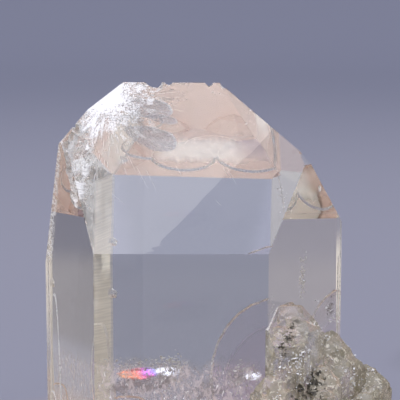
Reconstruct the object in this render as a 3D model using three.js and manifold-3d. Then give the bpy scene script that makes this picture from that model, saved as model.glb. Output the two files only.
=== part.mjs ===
import * as THREE from 'three';
import Module from 'manifold-3d';
import { ConvexGeometry } from 'three/addons/geometries/ConvexGeometry.js';
import { mergeVertices } from 'three/addons/utils/BufferGeometryUtils.js';

// A clear quartz crystal with a cluster of smaller crystals grown on its right side, all one solid.
// Millimetres. +Z is the crystal's long axis, and its largest tip face looks to -Y.
// Faces are named by where they look: azimuth 0 is -Y (front), 60 is right front, 180 is the back.
// Heights are measured from the crystal's middle level, and the flat cut lies BASE_DROP below it.

const BASE_DROP = 42;

// The prism: how far each of the six upright faces stands from the long axis.
const PRISM_FACES = {
  front: { azimuth: 0, reach: 15.4 },
  rightFront: { azimuth: 60, reach: 17.0 },
  rightBack: { azimuth: 120, reach: 17.3 },
  back: { azimuth: 180, reach: 18.05 },
  leftBack: { azimuth: 240, reach: 21.0 },
  leftFront: { azimuth: 300, reach: 18.4 },
};

// The tip: azimuth, lean back from upright, and the height at which the face meets the long axis.
const TIP_FACES = {
  front: { azimuth: -0.8, lean: 34.5, rise: 17.6 },
  rightFront: { azimuth: 60.1, lean: 38.4, rise: 27.6 },
  rightBack: { azimuth: 120.1, lean: 38.5, rise: 19.0 },
  back: { azimuth: 179.3, lean: 42.4, rise: 15.6 },
  leftBack: { azimuth: 240.5, lean: 37.5, rise: 28.1 },
  leftFront: { azimuth: 300.6, lean: 36.5, rise: 32.6 },
};
// A narrow, steep face that bevels the left shoulder, given by its distance from the middle.
const LEFT_SHOULDER = { azimuth: 268.7, lean: 11.2, reach: 20.45 };

// Small crystals: the natural lean of a tip face, and how uneven the six sides of one are.
const TIP_LEAN = 38.2;
const SIDE_SPREAD = [1, 0.9, 1.07, 0.95, 1.05, 0.92];
const SMALL_LENGTH = 82;
const MINOR_TIP_RISE = 0.45;
const TIP_UNEVENNESS = 2;

// The cluster: place of the axis, half width across flats, height of the tip, how much of it is
// blunted, lean and the direction it leans to, and turn about the axis.
const CLUSTER = [
  { at: [13.5, -13.1], half: 4.2, tip: -10.9, blunt: 0.9, lean: 1, towards: 30, turn: 2 },
  { at: [18.6, -7.2], half: 4.5, tip: -16.4, blunt: 0.5, lean: 2, towards: 60, turn: -4 },
  { at: [23.6, -4.8], half: 3.3, tip: -21.2, blunt: 0.8, lean: 3, towards: 80, turn: 6 },
  { at: [17.8, -13.8], half: 2.9, tip: -19.4, blunt: 0.3, lean: 5, towards: 40, turn: 12 },
  { at: [23.6, -9.8], half: 2.7, tip: -24.0, blunt: 0.4, lean: 5, towards: 62, turn: -9 },
  { at: [11.6, -16.6], half: 2.7, tip: -19.8, blunt: 0.5, lean: 3, towards: 10, turn: 5 },
  { at: [19.9, 2.2], half: 4.2, tip: -22.6, blunt: 0.7, lean: 4, towards: 110, turn: 3 },
  { at: [14.6, 9.4], half: 3.3, tip: -29.5, blunt: 0.5, lean: 6, towards: 130, turn: -7 },
  { at: [25.0, 0.4], half: 2.7, tip: -30.5, blunt: 0.4, lean: 8, towards: 95, turn: 14 },
];

// Growth relief: low plates left by the last layers of growth, on the face they belong to.
// 'across' and 'up' place the plate from the foot of the face's normal, 'wide' and 'tall' are its radii,
// 'square' is how square its outline is (2 is an oval), 'taper' how much narrower it is at the top.
const PLATE_EDGE = 0.35;
const PLATE_ROOT = 0.5;
const PLATE_TRIM = 0.3;
const BACK_TIP_LOBES = [
  { across: -6.6, up: -8.6, wide: 5.2, tall: 5.0, thick: 0.22 },
  { across: -1.2, up: -6.2, wide: 4.4, tall: 3.6, thick: 0.18 },
  { across: 3.4, up: -9.4, wide: 4.8, tall: 4.2, thick: 0.24 },
  { across: 8.4, up: -6.8, wide: 3.9, tall: 3.4, thick: 0.2 },
  { across: 8.8, up: 1.2, wide: 3.2, tall: 2.4, thick: 0.14 },
];
const BACK_PRISM_LOBES = [
  { across: -11.4, up: -27, wide: 10.6, tall: 12.2, thick: 0.26 },
  { across: -12.2, up: -29.2, wide: 9.8, tall: 10.8, thick: 0.5 },
  { across: 11.2, up: -38.4, wide: 6.4, tall: 8.2, thick: 0.24, square: 4, taper: 0.5 },
];
const LEFT_FRONT_PLATES = [
  { across: -9.6, up: -29.2, wide: 3.8, tall: 15.6, thick: 0.1, square: 3, taper: 0.6 },
  { across: -10.6, up: -41, wide: 4.4, tall: 13, thick: 0.18, square: 3, taper: 0.5 },
];
const RIGHT_BACK_PLATES = [
  { across: 2.5, up: -17.4, wide: 5.6, tall: 8.6, thick: 0.12, square: 4.5, taper: 0.55 },
  { across: 4.4, up: -33.2, wide: 6.4, tall: 12.8, thick: 0.2, square: 5, taper: 0.45 },
  { across: -5.8, up: -9.6, wide: 2.9, tall: 7.2, thick: 0.16, square: 4, taper: 0.6 },
];
const LEFT_BACK_PLATES = [
  { across: 3.4, up: -12.6, wide: 4.6, tall: 10.4, thick: 0.2, square: 4.5, taper: 0.5 },
  { across: -4.8, up: -33.5, wide: 5.8, tall: 14.6, thick: 0.3, square: 5, taper: 0.4 },
];

// Bruises: shell-shaped chips broken out of edges. 'size' is the three radii of the bite.
// They run along the top ridge from the left corner, down the right edge, then round the back.
const EDGE_CHIPS = [
  { at: [-12.2, 0.6, 16.9], size: [1.7, 1.9, 1.5] },
  { at: [-13.9, 0.4, 15.0], size: [0.8, 1.3, 0.6] },
  { at: [-6.9, -0.2, 17.1], size: [2.2, 1.7, 1.1] },
  { at: [-4.4, -0.4, 16.9], size: [1.0, 0.9, 0.7] },
  { at: [1.3, -0.6, 16.9], size: [1.1, 0.8, 0.65] },
  { at: [3.5, -1.2, 16.6], size: [0.9, 0.9, 0.7] },
  { at: [7.4, -4.2, 13.6], size: [1.0, 1.2, 0.9] },
  { at: [6.0, -2.8, 14.8], size: [0.7, 0.8, 0.6] },
  { at: [13.7, -8.6, 7.7], size: [0.8, 0.9, 0.9] },
  { at: [17.3, -5.1, 2.6], size: [0.6, 0.7, 0.8] },
  { at: [18.6, -3.7, 0.5], size: [0.5, 0.6, 0.6] },
  { at: [-14.2, -14.2, -5.2], size: [0.8, 0.7, 0.7] },
  { at: [4.4, 1.2, 15.6], size: [1.0, 1.0, 0.7] },
  { at: [-20.6, 10.4, 3.4], size: [1.3, 1.5, 1.2] },
  { at: [-14.2, 18.4, -14.8], size: [0.9, 0.9, 1.6] },
];

// The broken strip down the left edge of the front tip face, from its top to its foot.
const STRIP_TOP = [-16.4, -3.75, 9.9];
const STRIP_TURN = [-17.6, -5.0, 7.7];
const STRIP_FOOT = [-16.1, -9.9, 0.6];
const STRIP_UPPER_BITES = 3;
const STRIP_LOWER_BITES = 8;
const STRIP_BITE = { size: [1.1, 1.4, 0.6], spin: 38 };

// Bites out of two upright edges, as evenly spaced runs.
const LEFT_EDGE_RUN = {
  from: [-22.5, 5.4, -2.0],
  to: [-22.4, 5.4, -12.6],
  bites: 8,
  size: [0.42, 0.6, 0.75],
};
const RIGHT_EDGE_RUN = {
  from: [8.8, -16.5, -14.4],
  to: [8.8, -16.5, -20.6],
  bites: 5,
  size: [0.5, 0.55, 0.8],
};
// How much the bites of a row vary in size and in turn.
const RUN_SWELL = 0.28;
const RUN_SPIN = 25;
const CHIP_TURN = 20;

// The root: shells broken off round the cut end, away from the cluster, in turns about the axis.
const ROOT_BITES = 10;
const ROOT_FROM = 62;
const ROOT_SWEEP = 228;
const ROOT_BITE = [3.6, 2.6, 4.4];
const ROOT_REACH = [23.2, 19.4];
const ROOT_SWELL = 0.32;
const ROOT_STRAY = 0.04;
const ROOT_TURN = 40;

// The lumps of quartz that the cluster grows out of.
const ROOT_LUMPS = [
  { at: [17.2, -6.4, -42], size: [8.4, 10.4, 13.2] },
  { at: [20.8, -1.6, -42], size: [6.2, 6.0, 10.4] },
  { at: [13.4, -13.0, -42], size: [5.6, 5.2, 9.2] },
  { at: [16.4, 7.0, -42], size: [5.0, 5.2, 7.4] },
];

// The stepped skin of a broken shell: two crossing ripples, as shares of its radius.
const BROAD_RIPPLE = 0.07;
const FINE_RIPPLE = 0.05;

const WELD = 1e-4;
const CHIP_DETAIL = 2;
const ROOT_DETAIL = 1;
const PLATE_POINTS = 28;
const UNDER_WIDTH = 200;
const UNDER_DEPTH = 100;
const LUMP_TURN = 33;
const QUARTZ_COLOUR = 0xd9d2cc;

const wasm = await Module();
wasm.setup();

const radians = THREE.MathUtils.degToRad;

// The geometry with the same places and no other attributes, its equal corners made one.
function welded(geometry) {
  const bare = geometry.clone();
  bare.deleteAttribute('normal');
  bare.deleteAttribute('uv');
  return mergeVertices(bare, WELD);
}

// A closed geometry as a solid that can be joined and cut.
function solidFrom(geometry) {
  const merged = welded(geometry);
  return new wasm.Manifold(new wasm.Mesh({
    numProp: 3,
    vertProperties: new Float32Array(merged.attributes.position.array),
    triVerts: new Uint32Array(merged.index.array),
  }));
}

function faceNormal(azimuth, lean) {
  const turn = radians(azimuth);
  const tilt = radians(lean);
  const level = new THREE.Vector3(Math.sin(turn), -Math.cos(turn), 0);
  return level.multiplyScalar(Math.cos(tilt)).setZ(Math.sin(tilt));
}

// A face plane from its azimuth and lean, at a distance from the middle or at a rise on the long axis.
function facePlane({ azimuth, lean = 0, reach, rise }) {
  const normal = faceNormal(azimuth, lean);
  return { normal, reach: reach ?? rise * normal.z };
}

function meetingPoint(a, b, c) {
  const across = new THREE.Vector3().crossVectors(b.normal, c.normal);
  const volume = a.normal.dot(across);
  if (Math.abs(volume) < 1e-6) return null;
  const point = across.multiplyScalar(a.reach);
  point.addScaledVector(new THREE.Vector3().crossVectors(c.normal, a.normal), b.reach);
  point.addScaledVector(new THREE.Vector3().crossVectors(a.normal, b.normal), c.reach);
  return point.divideScalar(volume);
}

// The convex body that a set of face planes closes off: its corners are where three planes meet.
function convexSolid(planes) {
  const inside = (point) => planes.every((plane) => plane.normal.dot(point) < plane.reach + 1e-5);
  const corners = [];
  for (let i = 0; i < planes.length; i += 1) {
    for (let j = i + 1; j < planes.length; j += 1) {
      for (let k = j + 1; k < planes.length; k += 1) {
        const corner = meetingPoint(planes[i], planes[j], planes[k]);
        const isNew = corner && inside(corner) && corners.every((other) => other.distanceTo(corner) > 1e-3);
        if (isNew) corners.push(corner);
      }
    }
  }
  return solidFrom(new ConvexGeometry(corners));
}

function floorPlane(height) {
  return { normal: new THREE.Vector3(0, 0, -1), reach: -height };
}

const mainFaces = [
  ...Object.values(PRISM_FACES).map(facePlane),
  ...Object.values(TIP_FACES).map(facePlane),
  facePlane(LEFT_SHOULDER),
  floorPlane(-BASE_DROP),
];

// The main crystal, or the same crystal with every face moved out by 'growth'.
function mainCrystal(growth = 0) {
  return convexSolid(mainFaces.map((plane) => ({ normal: plane.normal, reach: plane.reach + growth })));
}

// One small crystal: six uneven upright sides, three major and three minor tip faces. It is made
// with its tip at height 0 and then leant, turned and moved.
function smallCrystal({ at, half, tip, blunt, lean, towards, turn }) {
  const sides = SIDE_SPREAD.map((spread, i) => facePlane({ azimuth: i * 60, reach: half * spread }));
  const tips = SIDE_SPREAD.map((spread, i) => {
    const minorRise = i % 2 ? MINOR_TIP_RISE * half : 0;
    const uneven = (spread - 1) * half * TIP_UNEVENNESS;
    return facePlane({ azimuth: i * 60, lean: TIP_LEAN, rise: minorRise + uneven });
  });
  const cap = { normal: new THREE.Vector3(0, 0, 1), reach: -blunt };
  const solid = convexSolid([...sides, ...tips, cap, floorPlane(-SMALL_LENGTH)]);
  const leanAxis = new THREE.Vector3(Math.cos(radians(towards)), Math.sin(radians(towards)), 0);
  const place = new THREE.Matrix4().makeTranslation(at[0], at[1], tip)
    .multiply(new THREE.Matrix4().makeRotationAxis(leanAxis, radians(lean)))
    .multiply(new THREE.Matrix4().makeRotationZ(radians(turn)));
  return solid.transform(place.elements);
}

// Axes on a face: across to the viewer's right, up the slope, and out.
function faceAxes(plane) {
  const across = new THREE.Vector3(0, 0, 1).cross(plane.normal).normalize();
  const up = new THREE.Vector3().crossVectors(plane.normal, across);
  return { across, up };
}

// A low rounded plate on a face, with a short sloping rim.
function growthPlate(plane, { across, up, wide, tall, thick, square = 2, taper = 0 }) {
  const axes = faceAxes(plane);
  const squared = (value) => Math.sign(value) * Math.abs(value) ** (2 / square);
  const rim = (height, shrink) => Array.from({ length: PLATE_POINTS }, (_, i) => {
    const angle = (i / PLATE_POINTS) * Math.PI * 2;
    const rise = squared(Math.sin(angle));
    const narrowed = 1 - taper * (rise + 1) / 2;
    return new THREE.Vector3()
      .addScaledVector(plane.normal, plane.reach + height)
      .addScaledVector(axes.across, across + (wide - shrink) * squared(Math.cos(angle)) * narrowed)
      .addScaledVector(axes.up, up + (tall - shrink) * rise);
  });
  return solidFrom(new ConvexGeometry([...rim(-PLATE_ROOT, 0), ...rim(0, 0), ...rim(thick, PLATE_EDGE)]));
}

// The bite that a chip takes: a ball squashed to three radii, its skin stepped like a broken shell.
function chip(at, size, spin = 0, detail = CHIP_DETAIL) {
  const ball = welded(new THREE.IcosahedronGeometry(1, detail));
  const points = ball.attributes.position;
  for (let i = 0; i < points.count; i += 1) {
    const point = new THREE.Vector3().fromBufferAttribute(points, i);
    const broad = BROAD_RIPPLE * Math.sin(7 * point.x + 4 * point.y);
    const fine = FINE_RIPPLE * Math.sin(9 * point.z - 3 * point.x);
    point.multiplyScalar(1 + broad + fine);
    points.setXYZ(i, point.x * size[0], point.y * size[1], point.z * size[2]);
  }
  ball.rotateY(radians(spin));
  ball.translate(at[0], at[1], at[2]);
  return solidFrom(ball);
}

function between(from, to, share) {
  return from.map((value, i) => value + (to[i] - value) * share);
}

// Bites in a row down an edge, each a little larger or smaller than the last.
function runOfChips({ from, to, bites, size, spin = 0 }) {
  return Array.from({ length: bites }, (_, i) => {
    const swell = 1 + RUN_SWELL * Math.sin(2.3 * i + 0.7);
    const place = between(from, to, i / (bites - 1));
    return chip(place, size.map((radius) => radius * swell), spin + RUN_SPIN * Math.sin(1.7 * i));
  });
}

function rootChips() {
  return Array.from({ length: ROOT_BITES }, (_, i) => {
    const turn = radians(ROOT_FROM + (ROOT_SWEEP * i) / (ROOT_BITES - 1));
    const swell = 1 + ROOT_SWELL * Math.sin(2.1 * i);
    const stray = 1 + ROOT_STRAY * Math.cos(3.7 * i);
    const at = [ROOT_REACH[0] * stray * Math.cos(turn), ROOT_REACH[1] * stray * Math.sin(turn), -BASE_DROP];
    return chip(at, ROOT_BITE.map((radius) => radius * swell), ROOT_TURN * i, ROOT_DETAIL);
  });
}

// Every plate on one face.
function platesOn(face, plates) {
  return plates.map((plate) => growthPlate(facePlane(face), plate));
}

const plates = [
  ...platesOn(TIP_FACES.back, BACK_TIP_LOBES),
  ...platesOn(PRISM_FACES.back, BACK_PRISM_LOBES),
  ...platesOn(PRISM_FACES.leftFront, LEFT_FRONT_PLATES),
  ...platesOn(PRISM_FACES.rightBack, RIGHT_BACK_PLATES),
  ...platesOn(PRISM_FACES.leftBack, LEFT_BACK_PLATES),
];
const joined = (solids) => solids.reduce((whole, solid) => whole.add(solid));

// Plates stop where their face does, so their outlines are trimmed by a slightly larger crystal.
const layers = joined(plates).intersect(mainCrystal(PLATE_TRIM));
const upperBites = joined([
  ...EDGE_CHIPS.map(({ at, size }, i) => chip(at, size, CHIP_TURN * i)),
  ...runOfChips({ from: STRIP_TOP, to: STRIP_TURN, bites: STRIP_UPPER_BITES, ...STRIP_BITE }),
  ...runOfChips({ from: STRIP_TURN, to: STRIP_FOOT, bites: STRIP_LOWER_BITES, ...STRIP_BITE }),
  ...runOfChips(LEFT_EDGE_RUN),
  ...runOfChips(RIGHT_EDGE_RUN),
]);
const underBlock = new THREE.BoxGeometry(UNDER_WIDTH, UNDER_WIDTH, UNDER_DEPTH);
const underCut = solidFrom(underBlock.translate(0, 0, -BASE_DROP - UNDER_DEPTH / 2));

const crystalSolid = mainCrystal()
  .add(layers)
  .add(joined(CLUSTER.map(smallCrystal)))
  .add(joined(ROOT_LUMPS.map(({ at, size }, i) => chip(at, size, LUMP_TURN * i))))
  .subtract(upperBites)
  .subtract(joined(rootChips()))
  .subtract(underCut);

// The finished mesh, with the middle of its footprint at the origin and its flat cut at height 0.
function finishedGeometry(solid) {
  const mesh = solid.getMesh();
  const geometry = new THREE.BufferGeometry();
  geometry.setAttribute('position', new THREE.BufferAttribute(new Float32Array(mesh.vertProperties), 3));
  geometry.setIndex(new THREE.BufferAttribute(new Uint32Array(mesh.triVerts), 1));
  geometry.computeBoundingBox();
  const { min, max } = geometry.boundingBox;
  geometry.translate(-(min.x + max.x) / 2, -(min.y + max.y) / 2, -min.z);
  geometry.computeVertexNormals();
  return geometry;
}

const quartz = new THREE.MeshStandardMaterial({ color: QUARTZ_COLOUR, roughness: 0.08, metalness: 0 });
const crystal = new THREE.Mesh(finishedGeometry(crystalSolid), quartz);
crystal.name = 'quartz_crystal';

const part = new THREE.Group();
part.add(crystal);

export default part;
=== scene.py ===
"""A clear quartz crystal with bruised edges, inner cracks and a cluster of milky crystals on its side."""
import math
import random

import bmesh
import bpy
from bpy.props import FloatProperty, FloatVectorProperty, PointerProperty
from bpy.types import Operator, Panel, PropertyGroup
from mathutils import Matrix, Vector, noise
from mathutils.bvhtree import BVHTree


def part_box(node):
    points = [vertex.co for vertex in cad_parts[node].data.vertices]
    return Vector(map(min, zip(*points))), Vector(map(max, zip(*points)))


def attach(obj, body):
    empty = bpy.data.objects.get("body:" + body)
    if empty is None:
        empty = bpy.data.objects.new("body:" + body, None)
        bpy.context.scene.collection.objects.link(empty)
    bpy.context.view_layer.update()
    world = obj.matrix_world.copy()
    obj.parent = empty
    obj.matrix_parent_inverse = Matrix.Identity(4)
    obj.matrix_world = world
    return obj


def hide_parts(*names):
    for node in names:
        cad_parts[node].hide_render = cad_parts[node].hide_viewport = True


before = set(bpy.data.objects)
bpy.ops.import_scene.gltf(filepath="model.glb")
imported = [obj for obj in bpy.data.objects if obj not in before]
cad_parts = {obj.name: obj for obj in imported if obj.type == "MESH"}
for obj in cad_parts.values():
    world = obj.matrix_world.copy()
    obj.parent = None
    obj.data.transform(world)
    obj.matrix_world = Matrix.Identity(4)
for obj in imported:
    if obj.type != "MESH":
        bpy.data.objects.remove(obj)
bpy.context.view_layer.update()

bl_info = {
    "name": "Quartz crystal",
    "version": (1, 0, 0),
    "blender": (4, 5, 0),
    "location": "3D View > Sidebar > Quartz",
    "description": "Builds a clear quartz crystal, its cracks and inclusions, and a plain studio",
    "category": "Object",
}

MM = 0.001
NODE = "quartz_crystal"
BODY = "root"
LOW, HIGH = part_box(NODE)

# The crystal's long axis, worked out from its left corner, its back plates and its flat cut.
AXIS_FROM_LEFT = 22.89
AXIS_FROM_BACK = 18.35
MIDDLE_HEIGHT = 42.0
AXIS = Vector((LOW.x + AXIS_FROM_LEFT * MM, HIGH.y - AXIS_FROM_BACK * MM, LOW.z + MIDDLE_HEIGHT * MM))

# The large crystal's faces: azimuth (0 is the front), lean from upright, distance from the middle.
FRONT_TIP = (-0.8, 34.5, 9.97)
BACK_TIP = (179.3, 42.4, 10.52)
BACK_LEFT = (240, 0, 21.0)
MAIN_FACES = [
    (0, 0, 15.4), (60, 0, 17.0), (120, 0, 17.3), (180, 0, 18.05), BACK_LEFT, (300, 0, 18.4),
    FRONT_TIP, (60.1, 38.4, 17.14), (120.1, 38.5, 11.83), BACK_TIP,
    (240.5, 37.5, 17.11), (300.6, 36.5, 19.39), (268.7, 11.2, 20.45),
]
FLUSH = 0.02
PLATE_RISE = 0.36
CLUSTER_RISE = 0.6
QUARTZ_IOR = 1.544
TINT_DENSITY = 4.0


def spot(x, y, z):
    """A place in millimetres from the long axis at middle height, as a point in the part's frame."""
    return AXIS + Vector((x, y, z)) * MM


def face_normal(azimuth, lean):
    turn, tilt = math.radians(azimuth), math.radians(lean)
    return Vector((math.sin(turn) * math.cos(tilt), -math.cos(turn) * math.cos(tilt), math.sin(tilt)))


def tree_of(mesh):
    return BVHTree.FromPolygons([v.co for v in mesh.vertices], [p.vertices for p in mesh.polygons])


SOLID = tree_of(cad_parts[NODE].data)
MAIN_PLANES = [(face_normal(azimuth, lean), reach * MM) for azimuth, lean, reach in MAIN_FACES]
FRONT_TIP_OUT = face_normal(*FRONT_TIP[:2])


# Shader expressions

# Where the Mix node keeps its colour sockets.
MIX_FACTOR, MIX_FIRST, MIX_SECOND = 0, 6, 7
MIX_COLOUR = 2


class Value:
    """A socket that takes part in expressions: each operation adds a Math node."""

    def __init__(self, paint, socket):
        self.paint = paint
        self.socket = socket

    def math(self, operation, *terms, clamp=False):
        settings = {"operation": operation, "use_clamp": clamp}
        return self.paint.node("ShaderNodeMath", settings, dict(enumerate(terms)))

    def __add__(self, other):
        return self.math("ADD", self, other)

    def __sub__(self, other):
        return self.math("SUBTRACT", self, other)

    def __rsub__(self, other):
        return self.math("SUBTRACT", other, self)

    def __mul__(self, other):
        return self.math("MULTIPLY", self, other)

    def __truediv__(self, other):
        return self.math("DIVIDE", self, other)

    def __rtruediv__(self, other):
        return self.math("DIVIDE", other, self)

    def __pow__(self, other):
        return self.math("POWER", self, other)

    def __rpow__(self, other):
        return self.math("POWER", other, self)

    __radd__ = __add__
    __rmul__ = __mul__

    def held(self):
        """The value kept between 0 and 1."""
        return self.math("ADD", self, 0.0, clamp=True)

    def size(self):
        return self.math("ABSOLUTE", self)

    def bearing(self, ahead):
        """The angle in radians from ahead toward this side."""
        return self.math("ARCTAN2", self, ahead)

    def ease(self, low, high):
        """0 below low, 1 above high, and smooth between them."""
        sockets = {"Value": self, "From Min": low, "From Max": high}
        return self.paint.node("ShaderNodeMapRange", {"interpolation_type": "SMOOTHSTEP"}, sockets)

    def fade(self, low, high):
        """1 below low, 0 above high, and smooth between them."""
        return 1.0 - self.ease(low, high)

    def between(self, rise, fall):
        """1 from the end of rise to the start of fall, and 0 outside them."""
        return self.ease(*rise) * self.fade(*fall)


class Paint:
    """The nodes of a material or the world, with one method that adds any node."""

    def __init__(self, tree, owner):
        self.tree = tree
        self.owner = owner
        tree.nodes.clear()

    def node(self, kind, settings=None, sockets=None, output=0):
        made = self.tree.nodes.new(kind)
        for name, setting in (settings or {}).items():
            if name == "stops":
                set_stops(made.color_ramp, setting)
            else:
                setattr(made, name, setting)
        for name, value in (sockets or {}).items():
            if isinstance(value, Value):
                self.tree.links.new(value.socket, made.inputs[name])
            else:
                made.inputs[name].default_value = value
        return Value(self, made.outputs[output]) if made.outputs else None

    def attribute(self, name):
        return self.node("ShaderNodeAttribute", {"attribute_name": name}, output="Fac")

    def vector_math(self, operation, sockets, output=0):
        return self.node("ShaderNodeVectorMath", {"operation": operation}, sockets, output)

    def place(self):
        """Object coordinates in millimetres from the long axis at middle height."""
        here = self.node("ShaderNodeTexCoord", output="Object")
        shifted = self.vector_math("SUBTRACT", {0: here, 1: AXIS})
        return self.vector_math("SCALE", {0: shifted, "Scale": 1 / MM})

    def parts_of(self, vector):
        split = self.node("ShaderNodeSeparateXYZ", None, {0: vector})
        outputs = split.socket.node.outputs
        return [Value(self, outputs[axis]) for axis in "XYZ"]

    def dot(self, vector, direction):
        return self.vector_math("DOT_PRODUCT", {0: vector, 1: direction}, "Value")

    def distance(self, where, point):
        return self.vector_math("DISTANCE", {0: where, 1: point}, "Value")

    def segment_distance(self, where, start, end):
        """How far the place is from a straight line between two points."""
        run = Vector(end) - Vector(start)
        offset = self.vector_math("SUBTRACT", {0: where, 1: start})
        share = (self.dot(offset, run) / run.length_squared).held()
        return self.distance(offset, self.vector_math("SCALE", {0: run, "Scale": share}))

    def outward(self, where, face):
        """How far the place stands out of one of the large crystal's faces, in millimetres."""
        azimuth, lean, reach = face
        return self.dot(where, face_normal(azimuth, lean)) - reach

    def oval(self, u, v, middle, radii):
        """1 inside an oval and 0 outside it, from two coordinates."""
        across, up = (u - middle[0]) / radii[0], (v - middle[1]) / radii[1]
        return (across * across + up * up).fade(0.92, 1.0)

    def noise(self, where, scale, detail=3.0, roughness=0.55, distortion=0.0):
        sockets = {"Vector": where, "Scale": scale, "Detail": detail, "Roughness": roughness}
        return self.node("ShaderNodeTexNoise", None, {**sockets, "Distortion": distortion})

    def stretched(self, where, scale):
        return self.vector_math("MULTIPLY", {0: where, 1: scale})

    def ramp(self, factor, stops):
        return self.node("ShaderNodeValToRGB", {"stops": stops}, {"Fac": factor})

    def blend(self, factor, first, second):
        """A colour between two, by the factor."""
        sockets = {MIX_FACTOR: factor, MIX_FIRST: opaque(first), MIX_SECOND: opaque(second)}
        return self.node("ShaderNodeMix", {"data_type": "RGBA"}, sockets, MIX_COLOUR)

    def bump(self, height, depth, strength):
        sockets = {"Height": height, "Distance": depth, "Strength": strength}
        return self.node("ShaderNodeBump", None, sockets)

    def principled(self, sockets):
        return self.node("ShaderNodeBsdfPrincipled", None, sockets)

    def closed(self, surface, **volume):
        """The finished material."""
        self.node("ShaderNodeOutputMaterial", None, {"Surface": surface, **volume})
        return self.owner


def set_stops(ramp, stops):
    while len(ramp.elements) > 1:
        ramp.elements.remove(ramp.elements[-1])
    (position, colour), *others = stops
    ramp.elements[0].position, ramp.elements[0].color = position, opaque(colour)
    for position, colour in others:
        ramp.elements.new(position).color = opaque(colour)


def opaque(colour):
    """The colour with full alpha. A linked one stays as it is."""
    return colour if isinstance(colour, Value) else (*colour, 1.0)


def new_paint(name, kind=Paint):
    material = bpy.data.materials.new(name)
    material.use_nodes = True
    return kind(material.node_tree, material)


# Mesh helpers

def clear_selection():
    if bpy.context.object and bpy.context.object.mode != "OBJECT":
        bpy.ops.object.mode_set(mode="OBJECT")
    bpy.ops.object.select_all(action="DESELECT")


def make_active(piece):
    clear_selection()
    piece.select_set(True)
    bpy.context.view_layer.objects.active = piece


def edit(piece):
    """Edit mode on the piece, with all of it selected."""
    make_active(piece)
    bpy.ops.object.mode_set(mode="EDIT")
    bpy.ops.mesh.select_all(action="SELECT")


def leave_edit():
    bpy.ops.object.mode_set(mode="OBJECT")


def settle(piece, name):
    """The piece's place goes into its mesh, and it gets its name."""
    make_active(piece)
    bpy.ops.object.transform_apply(location=True, rotation=True, scale=True)
    piece.name = name
    piece.data.name = name
    return piece


def finish_piece(piece, material):
    """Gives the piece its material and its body."""
    piece.data.materials.clear()
    piece.data.materials.append(material)
    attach(piece, BODY)


def apply_modifiers(piece):
    make_active(piece)
    for modifier in list(piece.modifiers):
        bpy.ops.object.modifier_apply(modifier=modifier.name)


def random_turn(rng):
    axis = Vector((rng.uniform(-1, 1), rng.uniform(-1, 1), rng.uniform(-1, 1)))
    return Matrix.Rotation(rng.uniform(0, math.tau), 4, axis.normalized())


SHARD_SHAPE = (1.0, 0.62, 0.3)
SHARD_TAPER = 0.55
SHARD_TWIST = 0.12


def shard():
    """A small angular splinter of quartz, 2 units long: a low ball with one end drawn out."""
    clear_selection()
    bpy.ops.mesh.primitive_ico_sphere_add(subdivisions=1, radius=1.0, location=(0, 0, 0))
    piece = bpy.context.object
    edit(piece)
    bpy.ops.transform.resize(value=SHARD_SHAPE)
    leave_edit()
    for vertex in piece.data.vertices:
        vertex.co.y *= 1.0 - SHARD_TAPER * vertex.co.x
        vertex.co.z += SHARD_TWIST * vertex.co.x * vertex.co.y
    return settle(piece, "splinter")


def add_splinters(name, places, material):
    """One piece from a turned and scaled copy of the splinter at each place."""
    pattern = shard()
    mesh = bpy.data.meshes.new(name)
    builder = bmesh.new()
    for place in places:
        before = len(builder.verts)
        builder.from_mesh(pattern.data)
        builder.verts.ensure_lookup_table()
        bmesh.ops.transform(builder, matrix=place, verts=builder.verts[before:])
    builder.to_mesh(mesh)
    builder.free()
    bpy.data.objects.remove(pattern)
    piece = bpy.data.objects.new(name, mesh)
    bpy.context.collection.objects.link(piece)
    finish_piece(piece, material)


# The clear crystal

MARKS = ("broken", "milky", "cut")
SAME_WAY = 0.999
CUT_HEIGHT = 0.05
# Merging and flattening of the solid's loose triangles, and the most that a rough point may rise.
MERGE = 0.0005 * MM
FLAT_WITHIN = math.radians(0.4)
HIGHEST_RISE = 0.1
# Roughness of the breaks and of the cluster: longest edge, then each wave's scale and share.
BREAK_GRAIN = (0.7 * MM, ((0.9, 1.0), (2.3, 0.6)))
CLUSTER_GRAIN = (0.8 * MM, ((0.45, 1.0), (1.1, 0.6), (2.7, 0.35)))
# Only edges that are this long and this sharp are worn to a line.
WORN_LENGTH = 1.2 * MM
WORN_ANGLE = math.radians(12)


def outside_by(point):
    """How far a point stands out of the large crystal's faces, in millimetres."""
    return max((point - AXIS).dot(normal) - reach for normal, reach in MAIN_PLANES) / MM


def lies_on_growth_face(face):
    """True where a face is one of the large crystal's own faces or a plate grown on one."""
    centre = face.center - AXIS
    for normal, reach in MAIN_PLANES:
        rise = (centre.dot(normal) - reach) / MM
        if face.normal.dot(normal) > SAME_WAY and -FLUSH < rise < PLATE_RISE:
            return True
    return False


def mark_faces(mesh):
    """Writes what each face is: 'broken' by a bruise, 'milky' in the cluster, 'cut' at the foot."""
    marks = {name: mesh.attributes.new(name, "FLOAT", "FACE") for name in MARKS}
    for face in mesh.polygons:
        height = (face.center.z - LOW.z) / MM
        in_cluster = outside_by(face.center) > CLUSTER_RISE
        is_cut = height < CUT_HEIGHT and face.normal.z < -0.9
        is_broken = not in_cluster and not is_cut and not lies_on_growth_face(face)
        marks["cut"].data[face.index].value = float(is_cut)
        marks["milky"].data[face.index].value = float(in_cluster and not is_cut)
        marks["broken"].data[face.index].value = float(is_broken)


def held_in_box(point):
    """The point, moved back to the solid's box where it would leave it."""
    return Vector([min(max(part, low), high) for part, low, high in zip(point, LOW, HIGH)])


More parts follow.
